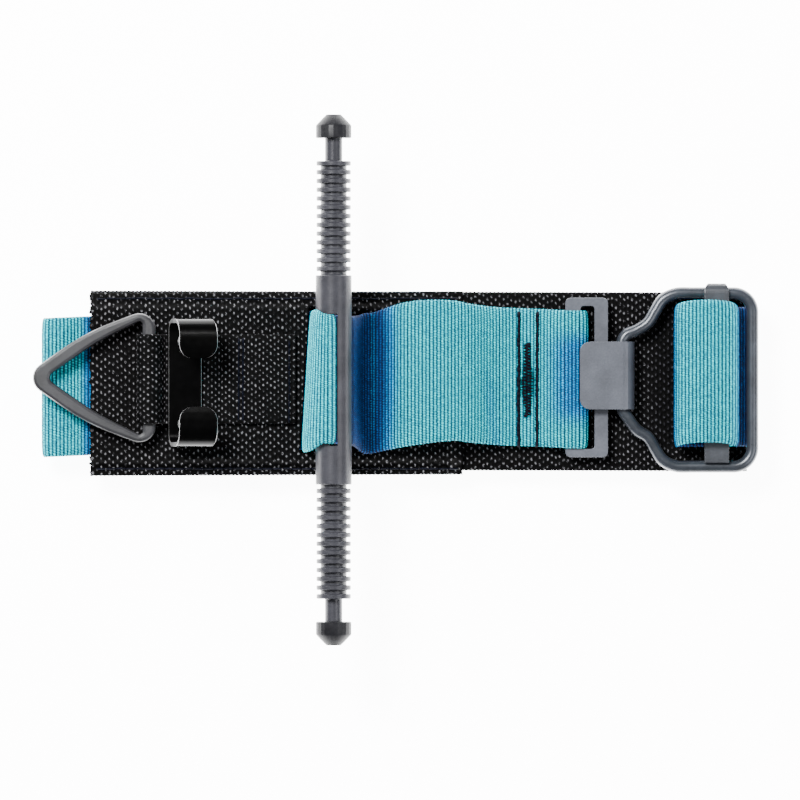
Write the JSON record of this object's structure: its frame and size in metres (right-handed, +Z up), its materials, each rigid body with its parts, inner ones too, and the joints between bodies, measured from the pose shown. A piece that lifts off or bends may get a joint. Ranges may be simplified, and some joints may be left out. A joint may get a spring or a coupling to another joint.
{
  "type": "tourniquet",
  "caption": "Windlass tourniquet folded for storage: webbing strap and bands, slotted windlass rod, locking ring, windlass clip and a quick-release slide buckle.",
  "frame": {"origin": "middle of the bounding box, on the table under the folded strap", "axes": "+X from the locking ring to the buckle along the strap, +Y along the windlass, +Z up from the table"},
  "size_m": [0.1927, 0.14, 0.039],
  "materials": {
    "blue_webbing": "turquoise 1.5 in woven nylon webbing",
    "black_webbing": "coarse black woven nylon webbing",
    "black_thread": "bonded nylon sewing thread",
    "anodised_aluminium": "satin grey anodised, turned",
    "moulded_plastic": "dark grey glass-filled nylon, lightly textured",
    "black_steel": "gloss black coated sheet steel with bright worn edges",
    "grey_steel": "satin grey coated sheet steel",
    "wire_steel": "dark satin coated steel wire"
  },
  "bodies": {
    "root": {"base_band": "black_webbing", "cover_band": "black_webbing", "keeper_strap": "black_webbing", "strap_return_run": "blue_webbing", "strap_tail_run": "blue_webbing", "strap_front_run": "blue_webbing", "front_seam_inner": "black_thread", "front_seam_outer": "black_thread", "front_bartack": "black_thread", "cover_seam_upper": "black_thread", "cover_seam_lower": "black_thread", "keeper_end_seam": "black_thread", "keeper_bartack": "black_thread", "windlass_clip": "black_steel", "clip_rivet_upper": "black_steel", "clip_rivet_lower": "black_steel", "slotted_plate": "grey_steel"},
    "windlass": {"windlass_rod": "anodised_aluminium", "strap_windlass_loop": "blue_webbing"},
    "locking_ring": {"locking_ring": "moulded_plastic"},
    "ring": {"buckle_ring": "wire_steel"},
    "hook": {"buckle_hook": "grey_steel"},
    "slider": {"slider_bar": "grey_steel", "strap_slider_loop": "blue_webbing"}
  },
  "joints": [
    {"name": "windlass_turn", "type": "hinge", "parent": "root", "child": "windlass", "pos_m": [-0.0162, 0, 0.03235], "axis": [0, 0, 1], "continuous": true},
    {"name": "locking_ring_swing", "type": "hinge", "parent": "root", "child": "locking_ring", "pos_m": [-0.0653, 0.0006, 0.016], "axis": [0, 1, 0], "range_deg": [0, 100]},
    {"name": "buckle_ring_tilt", "type": "hinge", "parent": "root", "child": "ring", "pos_m": [0.0604, 0.0001, 0.01265], "axis": [0, -1, 0], "range_deg": [0, 12]},
    {"name": "hook_release", "type": "hinge", "parent": "root", "child": "hook", "pos_m": [0.0604, 0.0012, 0.01265], "axis": [0, 1, 0], "range_deg": [0, 80]},
    {"name": "slider_slide", "type": "slide", "parent": "ring", "child": "slider", "axis": [1, 0, 0], "range_m": [-0.003, 0.0008]}
  ]
}
